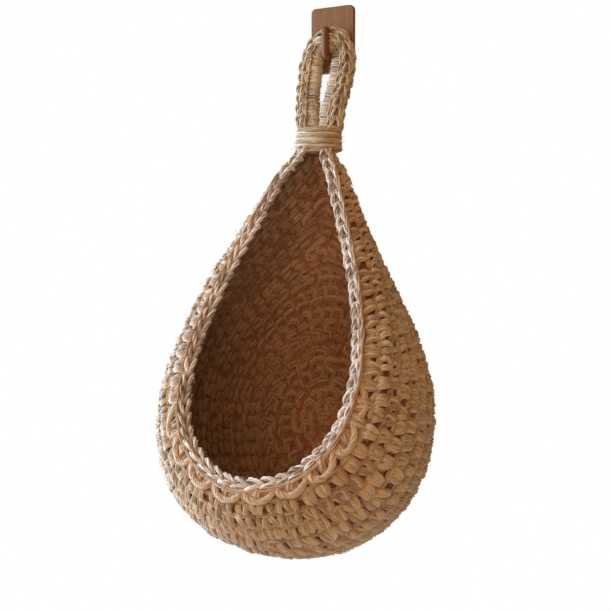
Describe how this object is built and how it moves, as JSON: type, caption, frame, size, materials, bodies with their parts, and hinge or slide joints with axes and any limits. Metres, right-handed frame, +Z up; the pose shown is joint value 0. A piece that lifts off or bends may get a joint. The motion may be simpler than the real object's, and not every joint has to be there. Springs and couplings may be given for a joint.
{
  "type": "wall basket",
  "caption": "Crocheted jute drop-shaped hanging basket with an open front, a bound neck and a hanging loop, on a flat wooden wall hook with an upturned peg.",
  "frame": {"origin": "middle of the back face of the hook's adhesive pad, on the wall", "axes": "+Z up along the height, +Y into the wall, the open front faces -Y, +X to the right of someone facing the wall"},
  "size_m": [0.2298, 0.1769, 0.467],
  "materials": {
    "adhesive_pad": "thin closed-cell foam tape",
    "plate_wood": "oiled, fine straight grain",
    "peg_wood": "darker oiled wood",
    "jute": "crocheted natural jute yarn",
    "pale_jute": "crocheted natural jute yarn, sun-lit rounds and twine"
  },
  "bodies": {
    "wall_hook": {"adhesive_pad": "adhesive_pad", "hook_plate": "plate_wood", "hook_peg": "peg_wood"},
    "basket": {"hanging_loop": "pale_jute", "gathered_neck": "jute", "neck_binding": "pale_jute", "rim_edging": "pale_jute", "post_round": "pale_jute", "lip_rounds": "jute", "belly_rounds": "jute", "back_rounds": "jute", "base_rounds": "jute", "base_panel": "jute"}
  },
  "joints": [
    {"name": "basket_swing", "type": "hinge", "parent": "wall_hook", "child": "basket", "pos_m": [0, -0.0123, -0.0164], "axis": [0, 1, 0], "range_deg": [-25, 25]}
  ]
}
